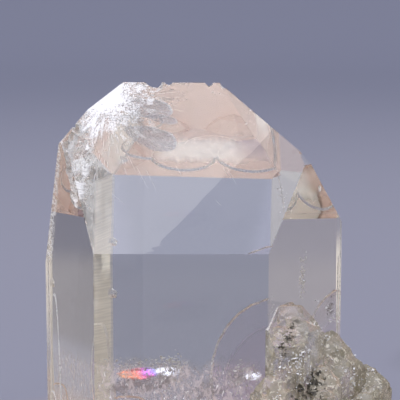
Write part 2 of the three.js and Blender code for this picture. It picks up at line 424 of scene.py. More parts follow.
def roughen(piece, mark, depth, longest, waves):
    """Splits the marked faces until their edges are short, and moves their inner points in."""
    builder = bmesh.new()
    builder.from_mesh(piece.data)
    layer = builder.faces.layers.float[mark]

    def marked():
        return [face for face in builder.faces if face[layer] > 0.5]

    bmesh.ops.triangulate(builder, faces=marked())
    for cut in range(4):
        inner = {e for f in marked() for e in f.edges if e.calc_length() > longest}
        inner = [e for e in inner if all(f[layer] > 0.5 for f in e.link_faces)]
        if not inner:
            break
        bmesh.ops.subdivide_edges(builder, edges=inner, cuts=1, use_grid_fill=True)
        bmesh.ops.triangulate(builder, faces=marked())
    for vertex in builder.verts:
        if all(face[layer] > 0.5 for face in vertex.link_faces):
            here = vertex.co / MM
            rise = sum(share * noise.noise(here * wave) for wave, share in waves)
            vertex.co = held_in_box(vertex.co + vertex.normal * min(rise, HIGHEST_RISE) * depth)
    builder.to_mesh(piece.data)
    builder.free()


def ease_edges(piece, width):
    """Wears the long natural edges to a fine rounded line."""
    mesh = piece.data
    rough = [max(a.value, b.value) for a, b in zip(*(mesh.attributes[name].data for name in MARKS[:2]))]
    beside = {}
    for face in mesh.polygons:
        for key in face.edge_keys:
            beside.setdefault(key, []).append((face.normal.copy(), rough[face.index]))
    weights = mesh.attributes.new("bevel_weight_edge", "FLOAT", "EDGE")
    for edge in mesh.edges:
        sides = beside.get(edge.key, [])
        start, end = (mesh.vertices[i].co for i in edge.vertices)
        if len(sides) == 2 and max(sides[0][1], sides[1][1]) < 0.5 and (end - start).length > WORN_LENGTH:
            if sides[0][0].angle(sides[1][0], 0.0) > WORN_ANGLE:
                weights.data[edge.index].value = 1.0
    bevel = piece.modifiers.new("worn edges", "BEVEL")
    bevel.limit_method = "WEIGHT"
    bevel.width = width
    bevel.segments = 2
    bevel.use_clamp_overlap = True
    apply_modifiers(piece)


BRUISE_HEART = (-12.6, -1.3, 14.1)
SHOULDER_HIGH = (-19.9, -3.4, 8.0)
SHOULDER_LOW = (-21.7, 1.0, -8.0)
STRIP_HIGH = (-14.4, -2.6, 11.8)
STRIP_LOW = (-15.4, -9.6, 1.6)
# Two growth layers on the back face: middle and radii, across and up.
FIRST_SHELL = ((11.4, -27.0), (10.4, 12.0))
SECOND_SHELL = ((12.2, -29.2), (9.6, 10.6))
# Stains among the small crystals: middle and how far each spreads.
STAINS = (
    ((14.2, -15.4, -13.4), 1.5), ((13.3, -16.0, -15.8), 2.3), ((16.8, -16.0, -22.2), 3.4),
    ((18.4, -1.9, -14.4), 1.5), ((16.0, -6.4, 5.8), 0.5),
)
# Where each part starts to fade and where the fade ends, in millimetres. First, by the distance
# from the bruise's heart and from the lines of the broken strip and the left shoulder.
CORE_FADE = (1.4, 3.4)
CRUMB_FADE = (3.8, 6.6)
RAY_FADE = (5.0, 13.0)
STRIP_FADE = (0.4, 2.4)
SHOULDER_FADE = (0.8, 2.2)
# By height from middle level.
PRISM_TOP = (-4.0, -3.4)
CLUSTER_CLEARS = (-19.0, -11.0)
FOOT_TOP = (-23.4, -21.0)
BAND_FOOT, BAND_TOP = (-1.4, 0.6), (3.0, 5.0)
EDGE_HAZE_TOP = (-4.5, -3.5)
EDGE_HAZE_THINS = (-15.0, -10.0)
# By height above the cut.
FOOT_BREAKS = (10.0, 14.0)
# From left to right.
FOOT_LEFT = (-13.0, -11.0)
BAND_LEFT, BAND_RIGHT = (-8.0, -5.0), (3.0, 6.5)
# From front to back.
BACK_FACE = (17.4, 17.9)
BACK_EDGE = (14.0, 14.8)
# Outward from a face.
ON_FACE = (-0.4, -0.2)
# How much the foot cloud's top sinks for each millimetre toward the back.
FOOT_SLOPE = 0.173
# The flat cut from front to back, in millimetres.
CUT_DEPTH = 38.0


class QuartzPaint(Paint):
    """The quartz material's nodes, with the places, face marks and noises that its parts share."""

    def __init__(self, tree, owner):
        super().__init__(tree, owner)
        self.where = self.place()
        self.x, self.y, self.z = self.parts_of(self.where)
        self.broken, self.milky, self.cut = (self.attribute(name) for name in MARKS)
        self.lines = self.drawn_out((0.12, 0.12, 3.2), 1.0, 1.0, 0.5)
        self.grain = self.noise(self.where, 5.5, 5.0, 0.65)
        self.patch = self.noise(self.where, 0.55, 4.0, 0.6)
        self.veins = self.noise(self.where, 1.6, 5.0, 0.7, 0.8).ease(0.54, 0.62)
        self.crumpled = self.drawn_out((0.8, 0.8, 2.2), 1.1, 4.0, 0.65, 0.8)

    def drawn_out(self, scale, *settings):
        """Noise on places scaled by a different amount each way."""
        return self.noise(self.stretched(self.where, scale), *settings)

    def relief(self):
        """Height of the level growth lines, the slow ripples and the cluster's grain."""
        ripples = self.noise(self.where, 0.16, 1.0, 0.4)
        upright = self.z.fade(*PRISM_TOP)
        return self.lines * upright * 0.2 + ripples * 1.2 + self.grain * self.milky * 6.0

    def cluster_haze(self):
        """How cloudy the small crystals are: less so at their upper ends."""
        thin = 1.0 - self.z.ease(*CLUSTER_CLEARS) * 0.6
        cloud = self.patch.ease(0.38, 0.62) * 0.40 + 0.28
        return self.milky * thin * (cloud + self.veins * 0.35 + self.grain.ease(0.55, 0.68) * 0.2)

    def foot_breaks(self):
        """1 on the breaks around the rim of the foot."""
        return (self.broken * (self.z + MIDDLE_HEIGHT).fade(*FOOT_BREAKS)).held()

    def near_line(self, start, end, fade):
        return self.segment_distance(self.where, start, end).fade(*fade)

    def crushed(self):
        """The bruise: its core, crumbs and rays, then the broken strip and the worn shoulder."""
        ragged = self.noise(self.where, 0.8, 4.0, 0.7, 0.5) * 5.4 - 2.7
        from_heart = self.distance(self.where, BRUISE_HEART)
        bearing = (self.z - BRUISE_HEART[2]).bearing(self.x - BRUISE_HEART[0])
        fan = {"X": bearing * 6.0, "Y": from_heart * 0.3, "Z": self.y * 0.2}
        rays = self.noise(self.node("ShaderNodeCombineXYZ", None, fan), 1.0, 5.0, 0.7, 0.4)
        core = (from_heart + ragged).fade(*CORE_FADE)
        crumbs = (from_heart + ragged * 1.4).fade(*CRUMB_FADE) * self.grain.ease(0.46, 0.54)
        halo = from_heart.fade(*RAY_FADE) * rays.ease(0.50, 0.60)
        streaks = rays.ease(0.46, 0.56) * 0.5 + self.crumpled.ease(0.42, 0.6) * 0.4 + 0.08
        strip = self.near_line(STRIP_HIGH, STRIP_LOW, STRIP_FADE) * streaks
        worn = self.crumpled.ease(0.44, 0.56) * 0.6 + 0.2
        shoulder = self.near_line(SHOULDER_HIGH, SHOULDER_LOW, SHOULDER_FADE) * worn
        return core * 1.3 + crumbs * 0.8 + halo * 0.55 + strip + shoulder

    def foot_cloud(self):
        """Where the cloud low in the large crystal is, where white glints are painted in it, and how
        dense it is.
        """
        uneven = self.drawn_out((1.0, 1.0, 0.2), 0.45, 3.0, 0.6) * 4.0 - 2.0
        low = (self.z + self.y * FOOT_SLOPE + uneven).fade(*FOOT_TOP)
        low = low * (self.x.ease(*FOOT_LEFT) * 0.75 + 0.25) * (1.0 - self.milky)
        crackle = self.drawn_out((1.0, 1.0, 0.6), 1.1, 6.0, 0.72, 1.2)
        # Painted glints: white spots in the cloud that stand in for sparkles of light.
        painted_glints = self.drawn_out((1.0, 1.0, 0.45), 2.6, 4.0, 0.7, 0.6).ease(0.60, 0.66)
        return low, painted_glints, low * (crackle.ease(0.48, 0.60) * 0.40 + painted_glints * 0.8 + 0.14)

    def cream_band(self):
        """The cream growth band across the back tip face."""
        wavy = self.z + self.drawn_out((0.3, 0.0, 0.0), 1.0, 3.0, 0.6) * 4.0 - 2.0
        cloudlets = self.noise(self.where, 0.5, 3.0, 0.6).ease(0.36, 0.6) * 0.2 + 0.8
        on_face = self.outward(self.where, BACK_TIP).ease(*ON_FACE)
        band = wavy.between(BAND_FOOT, BAND_TOP) * on_face * cloudlets
        return band * self.x.ease(*BAND_LEFT) * (1.0 - self.x.ease(*BAND_RIGHT) * 0.8)

    def edge_haze(self):
        """The cream haze along the upright edge at the back left, denser low down."""
        on_face = self.outward(self.where, BACK_LEFT).ease(*ON_FACE)
        haze = on_face * self.y.ease(*BACK_EDGE) * self.z.fade(*EDGE_HAZE_TOP)
        return haze * (self.lines.ease(0.4, 0.6) * 0.1 + 0.66 - self.z.ease(*EDGE_HAZE_THINS) * 0.24)

    def back_shells(self):
        """The shell-shaped growth layers on the back face."""
        first = self.oval(self.x, self.z, *FIRST_SHELL) * 0.22
        second = self.oval(self.x, self.z, *SECOND_SHELL) * 0.16
        return (first + second) * self.y.ease(*BACK_FACE)

    def stains(self):
        """The olive brown stains among the small crystals."""
        spread = 0.0
        for place, reach in STAINS:
            spread = self.distance(self.where, place).fade(reach * 0.2, reach) + spread
        return spread * self.crumpled.ease(0.46, 0.60)


def quartz_material(colours):
    paint = new_paint("quartz", QuartzPaint)
    clear = paint.principled({
        "Base Color": opaque(colours.clear), "Roughness": paint.milky * 0.22, "IOR": QUARTZ_IOR,
        "Transmission Weight": 1.0, "Normal": paint.bump(paint.relief(), 0.02 * MM, 0.25),
    })

    # How much of the dull, white quartz covers the clear quartz.
    foot_breaks = paint.foot_breaks()
    crushed = paint.crushed()
    shells = paint.back_shells()
    stain = paint.stains()
    low, painted_glints, cloudy = paint.foot_cloud()
    broken = paint.broken * (paint.grain.ease(0.36, 0.6) * 0.55 + 0.25) + foot_breaks
    cover = ((broken + crushed + cloudy + shells).held() + stain * 0.8).held()

    # The dull quartz's colours, from the bottom layer up.
    solid = paint.blend(paint.patch.ease(0.3, 0.7), colours.milk, colours.milk_dark)
    solid = paint.blend(low, solid, colours.foot_haze)
    solid = paint.blend((paint.veins * paint.milky * 0.7).held(), solid, colours.milk_light)
    # This white also paints the foot cloud's glints as white spots, which are painted highlights.
    white = (paint.broken + crushed * 2.0 + low * painted_glints).held()
    solid = paint.blend(white, solid, colours.bruise)
    solid = paint.blend((shells * 6.0).held(), solid, colours.shell)
    solid = paint.blend(stain.held(), solid, colours.stain)
    foot = paint.ramp(paint.y / CUT_DEPTH + 0.5, [(0.0, colours.cut_front), (0.6, colours.cut_pink)])
    foot = paint.blend(paint.patch.ease(0.4, 0.75) * 0.3, foot, colours.cut_mauve)
    solid = paint.blend((paint.cut + foot_breaks).held(), solid, foot)
    dull = paint.principled({
        "Base Color": solid, "Roughness": 0.45, "Normal": paint.bump(paint.grain, 0.12 * MM, 0.6),
    })
    share = (paint.cluster_haze() + cover + paint.cut * 0.94).held()
    surface = paint.node("ShaderNodeMixShader", None, {0: share, 1: clear, 2: dull})

    lit_through = paint.node("ShaderNodeBsdfTranslucent", None, {"Color": opaque(colours.back_band)})
    share = (paint.cream_band() * 0.62 + paint.edge_haze()).held()
    surface = paint.node("ShaderNodeMixShader", None, {0: share, 1: surface, 2: lit_through})
    tinted = {"Color": opaque(colours.absorbed), "Density": TINT_DENSITY}
    volume = paint.node("ShaderNodeVolumeAbsorption", None, tinted)
    return paint.closed(surface, Volume=volume)


def tint(name, description, default):
    return FloatVectorProperty(
        name=name, description=description, subtype="COLOR", default=default, min=0.0, max=1.0)


def measure(name, description, default):
    return FloatProperty(
        name=name, description=description, default=default, min=0.0, unit="LENGTH", precision=6)


class QuartzColours(PropertyGroup):
    clear: tint("Clear quartz", "Tint of the clear faces", (0.99, 0.985, 0.98))
    absorbed: tint("Depth tint", "What thick quartz lets through", (0.84, 0.93, 0.84))
    milk: tint("Milky quartz", "Cream of the small crystals", (0.58, 0.52, 0.375))
    milk_light: tint("Milky quartz, veins", "Pale veins of the small crystals", (0.86, 0.81, 0.66))
    milk_dark: tint("Milky quartz, shaded", "Greyer patches of the small crystals", (0.27, 0.24, 0.15))
    foot_haze: tint("Foot haze", "Pinkish grey cloud low in the large crystal", (0.90, 0.76, 0.72))
    bruise: tint("Bruised quartz", "White of crushed and broken edges", (0.97, 0.95, 0.91))
    cut_front: tint("Foot, front", "Colour of the flat cut under the front", (0.78, 0.54, 0.42))
    cut_pink: tint("Foot, middle", "Pink cream of the flat cut", (0.96, 0.68, 0.52))
    cut_mauve: tint("Foot, patches", "Mauve patches of the flat cut", (0.86, 0.64, 0.56))
    shell: tint("Back shells", "Lilac of the growth layers on the back face", (0.56, 0.44, 0.58))
    stain: tint("Stains", "Olive brown stains among the small crystals", (0.07, 0.058, 0.035))
    back_band: tint("Back band", "Cream of the band and the haze on the back faces", (0.97, 0.91, 0.77))


class QuartzSizes(PropertyGroup):
    edge_wear: measure("Edge wear", "Width of the worn line along the natural edges", 0.07 * MM)
    break_depth: measure("Break depth", "How rough the broken faces are", 0.16 * MM)
    milky_depth: measure("Milky roughness", "How uneven the small crystals are", 0.5 * MM)
    crack_gap: measure("Crack gap", "Thickness of the inner cracks and veils", 0.02 * MM)


class QUARTZ_OT_crystal(Operator):
    """Dress the crystal: worn edges, rough breaks, clear and milky quartz"""
    bl_idname = "quartz.crystal"
    bl_label = "Clear crystal"

    def execute(self, context):
        sizes = context.scene.quartz_sizes
        body = bpy.data.objects.new("clear_crystal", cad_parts[NODE].data.copy())
        context.collection.objects.link(body)
        edit(body)
        bpy.ops.mesh.remove_doubles(threshold=MERGE)
        bpy.ops.mesh.dissolve_limited(angle_limit=FLAT_WITHIN)
        leave_edit()
        mark_faces(body.data)
        ease_edges(body, sizes.edge_wear)
        roughen(body, "broken", sizes.break_depth, *BREAK_GRAIN)
        roughen(body, "milky", sizes.milky_depth, *CLUSTER_GRAIN)
        make_active(body)
        bpy.ops.object.shade_flat()
        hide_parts(NODE)
        finish_piece(body, quartz_material(context.scene.quartz_colours))
        return {"FINISHED"}


# Cracks, veils, flecks and inclusions inside the crystal

# What each point of a sheet carries: how far from its middle, from root to tip, and from side to side.
SHEET_MARKS = ("edge", "along", "across")
SHEET_RINGS = 4
# How ragged a sheet's outline is.
RAGGED = 0.06
# How deep a splinter lies under the surface, as shares of its size.
DEEP_SHARE = 0.55
SUNK_SHARE = 0.25
# Drawn to this power, most splinters are small.
MOSTLY_SMALL = 2.5
# Far enough in front of the crystal to look back at it, in metres.
IN_FRONT = 0.1


def leaf(name, root, tip, side, bulge, tail, gap):
    """A thin closed sheet between two points, narrow at its root, round at its tip and bowed."""
    clear_selection()
    bpy.ops.mesh.primitive_circle_add(vertices=48, radius=1.0, fill_type="NGON", location=(0, 0, 0))
    piece = bpy.context.object
    edit(piece)
    for ring in range(SHEET_RINGS):
        bpy.ops.mesh.inset(thickness=1 / (SHEET_RINGS + 1))
    bpy.ops.mesh.poke()
    leave_edit()
    root, tip, side = spot(*root), spot(*tip), Vector(side) * MM
    centre, reach = (root + tip) / 2, (tip - root) / 2
    out = reach.cross(side).normalized()
    mesh = piece.data
    for mark in SHEET_MARKS:
        mesh.attributes.new(mark, "FLOAT", "POINT")
    edge, along, across = (mesh.attributes[mark].data for mark in SHEET_MARKS)
    for vertex in mesh.vertices:
        u, v = vertex.co.x, vertex.co.y
        radius = min(1.0, math.hypot(u, v))
        edge[vertex.index].value = radius
        along[vertex.index].value = (u + 1) / 2
        across[vertex.index].value = v
        width = tail + (1 - tail) * (u + 1) / 2
        wave = RAGGED * noise.noise(Vector((u * 2.1, v * 2.1, len(name))))
        lift = (bulge * (1 - radius ** 2) + wave * radius) * MM
        vertex.co = centre + reach * u * (1 + wave) + side * v * width * (1 + 2 * wave) + out * lift
    thick = piece.modifiers.new("gap", "SOLIDIFY")
    thick.thickness = gap
    thick.offset = 0.0
    apply_modifiers(piece)
    return settle(piece, name)


def add_sheets(context, name, rows, material):
    """One piece from thin sheets, a row of values for each."""
    gap = context.scene.quartz_sizes.crack_gap
    sheets = [leaf(*row, gap) for row in rows]
    make_active(sheets[0])
    for sheet in sheets[1:]:
        sheet.select_set(True)
    if len(sheets) > 1:
        bpy.ops.object.join()
    finish_piece(settle(sheets[0], name), material)


def deep_enough(place, size):
    """True where a splinter of this size lies wholly inside the solid."""
    nearest, normal, _, distance = SOLID.find_nearest(place)
    return (place - nearest).dot(normal) < 0 and distance > DEEP_SHARE * size


def sunk_in_surface(place):
    """The same place moved along the front-to-back direction to just under the first surface met."""
    start = place.translation - Vector((0, IN_FRONT, 0))
    met = SOLID.ray_cast(start, Vector((0, 1, 0)))[0]
    if met is None:
        return None
    sink = SUNK_SHARE * place.to_scale().x
    return Matrix.Translation(met + Vector((0, sink, 0)) - place.translation) @ place


def scattered(trails, seed, anywhere=False):
    """Places for splinters: a trail is its points, how many, how far they spread and their sizes."""
    rng = random.Random(seed)
    places = []
    for points, count, spread, smallest, largest in trails:
        for _ in range(count):
            leg = rng.randrange(len(points) - 1) if len(points) > 1 else 0
            start = Vector(points[leg])
            end = Vector(points[min(leg + 1, len(points) - 1)])
            middle = start.lerp(end, rng.random())
            away = Vector([rng.gauss(0, 1) * part for part in spread])
            size = smallest + (largest - smallest) * rng.random() ** MOSTLY_SMALL
            place, turn = spot(*(middle + away)), random_turn(rng)
            if anywhere or deep_enough(place, size * MM):
                places.append(Matrix.Translation(place) @ turn @ Matrix.Scale(size * MM / 2, 4))
    return places


def surface_places(trails, seed):
    """Places for splinters just under the crystal's front surface."""
    found = [sunk_in_surface(place) for place in scattered(trails, seed, anywhere=True)]
    return [place for place in found if place is not None]


def crack_material(pale, grey, cover, rim):
    """A crack seen from its side: clear in the middle, brighter along its outline and its rays."""
    paint = new_paint("feather_crack")
    edge, along, across = (paint.attribute(mark) for mark in SHEET_MARKS)
    fan = {"X": along * 1.6, "Y": across / (along * 0.5 + 0.25) * 5.0}
    rays = paint.noise(paint.node("ShaderNodeCombineXYZ", None, fan), 1.6, 4.0, 0.65).ease(0.42, 0.68)
    outline = edge.ease(0.88, 0.98) * (1.0 - across.ease(-0.5, 0.6) * 0.7)
    fine = paint.noise(paint.place(), 3.2, 3.0, 0.6).ease(0.4, 0.7)
    white = (rays * 0.7 * along.ease(0.25, 0.9) + outline * rim + fine * 0.15).held()
    return paint.closed(paint.principled({
        "Base Color": paint.blend(white, grey, pale), "Roughness": 0.35,
        "Alpha": (white * 0.65 + cover).held(),
    }))


def veil_material(pale, dark, cover, grain):
    """A patchy veil of tiny bubbles, fading out toward its outline."""
    paint = new_paint("milky_veil")
    where = paint.place()
    patch = paint.noise(where, grain, 4.0, 0.65)
    bright = paint.noise(where, grain * 3.1, 3.0, 0.6).ease(0.45, 0.7)
    fade = paint.attribute("edge").fade(0.55, 1.0)
    return paint.closed(paint.principled({
        "Base Color": paint.blend(bright, dark, pale), "Roughness": 0.4,
        "Alpha": (patch.ease(0.36, 0.66) * fade * cover).held(),
    }))


def plain_material(name, colour, roughness, spread, metallic=0.0):
    """A solid colour that varies a little from place to place."""
    paint = new_paint(name)
    patch = paint.noise(paint.place(), 1.3, 3.0)
    darker = [part * (1 - spread) for part in colour]
    return paint.closed(paint.principled({
        "Base Color": paint.blend(patch.ease(0.35, 0.65), darker, colour),
        "Roughness": roughness, "Metallic": metallic,
    }))


def rainbow_material():
    """Thin-film colours across a fracture, from orange through magenta to violet."""
    paint = new_paint("rainbow")
    edge, along, across = (paint.attribute(mark) for mark in SHEET_MARKS)
    bend = paint.noise(paint.place(), 0.7, 3.0) * 0.5 - 0.25
    return paint.closed(paint.principled({
        "Base Color": paint.ramp(along + bend + across * 0.14, RAINBOW), "Roughness": 0.22,
        "Metallic": 1.0, "Alpha": edge.fade(0.6, 1.0) * 0.95,
    }))


def flash_material():
    """A bright mirror-like fracture, broken up by crackle."""
    paint = new_paint("white_flash")
    crackle = paint.noise(paint.place(), 1.6, 5.0, 0.7, 0.6)
    return paint.closed(paint.principled({
        "Base Color": opaque(FLASH), "Metallic": 1.0, "Roughness": 0.25,
        "Alpha": crackle.ease(0.40, 0.52) * paint.attribute("edge").fade(0.7, 1.0),
    }))


# Colours along the rainbow fracture, and the colours of the other cracks and grains.
RAINBOW = [
    (0.0, (0.50, 0.44, 0.30)), (0.16, (1.0, 0.42, 0.22)), (0.42, (1.0, 0.30, 0.20)),
    (0.62, (0.95, 0.20, 0.42)), (0.76, (0.50, 0.25, 0.85)), (0.92, (0.62, 0.70, 1.0)),
]
FLASH = (0.97, 0.97, 0.99)
CRACK_PALE, CRACK_GREY = (0.97, 0.95, 0.92), (0.46, 0.39, 0.39)
VEIL_PALE, VEIL_DARK = (0.92, 0.88, 0.83), (0.5, 0.44, 0.44)
CRUSHED = (0.98, 0.97, 0.94)
SCRATCH = (0.98, 0.97, 0.95)
GRAIN_DARK = (0.06, 0.05, 0.03)
# Name, root, tip, half-width direction, bow, how narrow the root is.
FEATHERS = [
    ("upper_lobe", (-11.6, -1.6, 13.4), (-3.5, -1.9, 12.2), (-0.2, -0.9, -1.5), 0.5, 0.55),
    ("upper_leaf", (-7.2, -2.3, 11.6), (-2.7, -2.7, 10.9), (0.0, -0.35, -0.7), 0.2, 0.5),
    ("lower_lobe", (-10.0, -3.2, 9.9), (-2.7, -4.0, 7.6), (-0.6, -1.0, -1.7), 0.6, 0.5),
]
BRUISE_TRAILS = [
    ([(-13.2, -2.6, 11.8), (-10.4, -2.8, 11.4), (-7.9, -3.2, 11.2)], 520, (0.8, 0.35, 0.6), 0.1, 0.6),
    ([(-9.6, -2.0, 13.0), (-6.4, -2.0, 12.6)], 60, (0.4, 0.25, 0.5), 0.1, 0.5),
    ([(-10.6, -1.2, 14.4), (-6.2, -1.0, 14.4)], 110, (0.5, 0.25, 0.35), 0.1, 0.5),
    ([(-8.6, -2.4, 12.3)], 50, (0.5, 0.25, 0.4), 0.15, 0.7),
    ([(-8.2, -3.6, 10.4), (-7.9, -4.6, 8.6)], 40, (0.2, 0.15, 0.3), 0.1, 0.5),
]
STRIP_TRAILS = [
    ([(-14.2, -3.4, 11.4), (-15.0, -5.4, 7.9), (-14.9, -8.4, 3.4), (-14.2, -10.9, 0.6)], 260,
     (0.45, 0.3, 0.6), 0.1, 0.6),
]
SPARKLE_TRAILS = [
    ([(6.4, -3.2, 13.2), (7.4, -4.4, 11.6)], 70, (0.3, 0.12, 0.4), 0.1, 0.45),
    ([(1.8, -1.4, 15.4), (3.8, -1.8, 14.9)], 50, (0.4, 0.1, 0.15), 0.08, 0.4),
    ([(15.1, -7.4, -6.0), (14.4, -7.9, -8.6), (14.6, -8.0, -11.0)], 170, (0.3, 0.3, 0.5), 0.15, 0.9),
    ([(10.9, -14.2, -10.6), (10.6, -14.2, -17.4)], 110, (0.14, 0.3, 0.8), 0.08, 0.4),
    ([(-21.9, 2.3, 2.0), (-22.1, 2.6, -7.0)], 170, (0.22, 0.5, 0.7), 0.1, 0.5),
    ([(11.8, -8.6, 3.0), (12.4, -8.6, -0.4)], 30, (0.3, 0.3, 0.6), 0.1, 0.4),
]
FOOT_TRAILS = [
    ([(-11.2, -14.4, -20.3), (-1.0, -14.4, -19.7)], 260, (0.8, 0.4, 0.5), 0.1, 0.55),
    ([(-2.6, -14.5, -19.8), (-1.4, -14.5, -21.4)], 120, (1.0, 0.2, 0.6), 0.15, 0.9),
    ([(-1.6, -14.3, -19.2), (-2.4, -14.3, -24.4)], 220, (0.8, 0.4, 1.0), 0.1, 0.6),
    ([(6.4, -14.3, -20.0), (9.6, -14.3, -21.2)], 130, (0.6, 0.4, 0.5), 0.1, 0.5),
    ([(-11.0, -14.3, -23.8), (11.0, -14.3, -24.2)], 420, (1.5, 0.5, 1.4), 0.1, 0.5),
]
CLUSTER_TRAILS = [
    ([(14.6, -15.0, -17.6), (15.4, -15.0, -20.4)], 150, (0.8, 0.5, 0.9), 0.1, 0.7),
    ([(16.4, -14.0, -13.0), (17.4, -13.6, -16.0)], 60, (0.3, 0.4, 0.7), 0.08, 0.45),
    ([(17.6, -13.0, -14.6), (19.2, -12.0, -18.6)], 90, (0.5, 0.5, 0.7), 0.12, 0.5),
    ([(20.0, -10.0, -20.6), (23.0, -9.0, -24.6)], 160, (0.9, 0.9, 0.9), 0.12, 0.6),
    ([(12.0, -15.8, -18.8), (12.6, -15.8, -24.0)], 70, (0.6, 0.4, 1.0), 0.12, 0.5),
    ([(21.6, -6.0, -17.0), (25.0, -5.0, -23.0)], 100, (0.5, 0.8, 0.6), 0.12, 0.5),
]
INCLUSION_TRAILS = [
    ([(14.0, -15.0, -14.4), (13.2, -15.2, -15.8), (12.6, -15.0, -17.0)], 70, (0.4, 0.35, 0.4), 0.1, 0.7),
    ([(15.3, -14.4, -23.4), (16.7, -14.6, -20.8), (17.2, -14.4, -22.8)], 170, (0.8, 0.3, 0.6), 0.1, 0.8),
    ([(18.6, 0.3, -12.8), (17.9, -1.1, -15.4)], 24, (0.15, 0.2, 0.5), 0.1, 0.45),
]
# Fine cuts on the front tip face, each from its upper to its lower end.
SCRATCHES = [
    ((-7.8, -8.0, 5.8), (-5.9, -9.9, 3.0)), ((-6.5, -8.2, 5.5), (-4.6, -10.3, 2.6)),
    ((-2.5, -7.9, 6.0), (-1.2, -9.1, 4.3)), ((3.9, -8.1, 5.9), (5.2, -9.3, 4.2)),
    ((4.6, -8.3, 5.7), (6.1, -9.8, 3.5)), ((-10.9, -10.2, 2.4), (-8.7, -11.3, 0.9)),
    ((3.3, -10.9, 1.7), (4.2, -11.4, 1.0)), ((-9.6, -6.4, 8.0), (-7.6, -8.6, 4.8)),
]
SCRATCH_WIDTH = 0.09 * MM
# Fine cracks that spread over the front tip face from the bruise: bearing range in degrees from
# straight right, turning downward, then the nearest start, the farthest end and how many.
BRUISE_RAYS = (
    ((62, 118), 3.2, 12.5, 70), ((20, 62), 3.4, 8.4, 46),
    ((-8, 20), 3.6, 9.5, 34), ((112, 124), 4.0, 17.0, 30),
)
RAY_LENGTH = (0.4, 2.0)
# Sheets of the veils, the rainbow and the white flash beside it, written as the feather cracks are.
VEILS = [
    ("foot_veil_left", (-11.5, -14.2, -23.8), (-1.0, -14.4, -21.6), (0.2, 0.3, 1.7), 0.3, 0.8),
    ("foot_veil_middle", (-1.0, -14.3, -24.6), (9.0, -14.4, -20.4), (0.2, 0.2, 2.0), 0.3, 0.8),
]
RAINBOW_SHEETS = [
    ("rainbow", (-9.7, -14.5, -21.5), (-3.5, -14.5, -20.9), (0.0, 0.33, 0.95), 0.05, 0.8),
]
FLASH_SHEETS = [
    ("flash", (-4.6, -14.5, -20.8), (-0.8, -14.5, -20.8), (0.0, 0.3, 0.8), 0.05, 0.7),
    ("oval", (7.3, -14.5, -21.1), (10.0, -14.5, -21.0), (0.0, 0.25, 0.65), 0.05, 0.9),
]


class QUARTZ_OT_feathers(Operator):
    """Feather cracks: bowed sheets that spread from the bruise under the front face"""
    bl_idname = "quartz.feathers"
    bl_label = "Feather cracks"

    def execute(self, context):
        material = crack_material(CRACK_PALE, CRACK_GREY, cover=0.34, rim=0.7)
        add_sheets(context, "feather_cracks", FEATHERS, material)
        return {"FINISHED"}


class QUARTZ_OT_veils(Operator):
    """Milky veils low in the crystal"""
    bl_idname = "quartz.veils"
    bl_label = "Milky veils"

    def execute(self, context):
        material = veil_material(VEIL_PALE, VEIL_DARK, cover=0.8, grain=0.45)
        add_sheets(context, "milky_veils", VEILS, material)
        return {"FINISHED"}


class QUARTZ_OT_flecks(Operator):
    """White splinters of the bruise, the broken strip, the edges and the foot"""
    bl_idname = "quartz.flecks"
    bl_label = "White flecks"

    def execute(self, context):
        white = plain_material("crushed_quartz", CRUSHED, roughness=0.22, spread=0.08, metallic=0.4)
        groups = (("bruise_flecks", BRUISE_TRAILS, 11), ("strip_flecks", STRIP_TRAILS, 12),
                  ("sparkle_flecks", SPARKLE_TRAILS, 13), ("foot_flecks", FOOT_TRAILS, 14))
        for name, trails, seed in groups:
            add_splinters(name, scattered(trails, seed), white)
        add_splinters("cluster_flecks", surface_places(CLUSTER_TRAILS, seed=15), white)
        return {"FINISHED"}


def bruise_rays(seed):
    """Ends of short cracks on the front tip face that all point away from the bruise."""
    rng = random.Random(seed)
    sideways = Vector((0, 0, 1)).cross(FRONT_TIP_OUT).normalized()
    downward = sideways.cross(FRONT_TIP_OUT).normalized()
    if downward.z > 0:
        downward.negate()
    heart = Vector(BRUISE_HEART)
    heart -= FRONT_TIP_OUT * (heart.dot(FRONT_TIP_OUT) - FRONT_TIP[2])
    ends = []
    for (first, last), near, far, count in BRUISE_RAYS:
        for _ in range(count):
            bearing = math.radians(rng.uniform(first, last))
            run = (sideways * math.cos(bearing) + downward * math.sin(bearing)).normalized()
            start = near + (far - near) * rng.random() ** 1.5
            length = rng.uniform(*RAY_LENGTH)
            ends.append((tuple(heart + run * start), tuple(heart + run * (start + length))))
    return ends


class QUARTZ_OT_scratches(Operator):
    """Fine bright cuts and ray cracks on the front tip face"""
    bl_idname = "quartz.scratches"
    bl_label = "Scratches"

    def execute(self, context):
        bright = plain_material("scratch", SCRATCH, roughness=0.3, spread=0.05)
        places = []
        for upper, lower in SCRATCHES + bruise_rays(seed=31):
            start, end = spot(*upper), spot(*lower)
            if max(outside_by(start), outside_by(end)) > PLATE_RISE:
                continue
            run = end - start
            turn = run.to_track_quat("X", "Z").to_matrix().to_4x4()
            stretch = Matrix.Diagonal((run.length / 2, SCRATCH_WIDTH / 2, SCRATCH_WIDTH / 2, 1))
            under = (start + end) / 2 - FRONT_TIP_OUT * SCRATCH_WIDTH
            if deep_enough(under, SCRATCH_WIDTH):
                places.append(Matrix.Translation(under) @ turn @ stretch)
        add_splinters("scratches", places, bright)
        return {"FINISHED"}


class QUARTZ_OT_inclusions(Operator):
    """Black and olive mineral grains caught in the milky crystals"""
    bl_idname = "quartz.inclusions"
    bl_label = "Dark inclusions"

    def execute(self, context):
        dark = plain_material("dark_inclusion", GRAIN_DARK, roughness=0.5, spread=0.5)
        add_splinters("dark_inclusions", surface_places(INCLUSION_TRAILS, seed=21), dark)
        return {"FINISHED"}


class QUARTZ_OT_rainbow(Operator):
    """The rainbow fracture near the foot and the white flash beside it"""
    bl_idname = "quartz.rainbow"
    bl_label = "Rainbow fracture"

    def execute(self, context):
        add_sheets(context, "rainbow", RAINBOW_SHEETS, rainbow_material())
        add_sheets(context, "white_flash", FLASH_SHEETS, flash_material())
        return {"FINISHED"}


# The studio

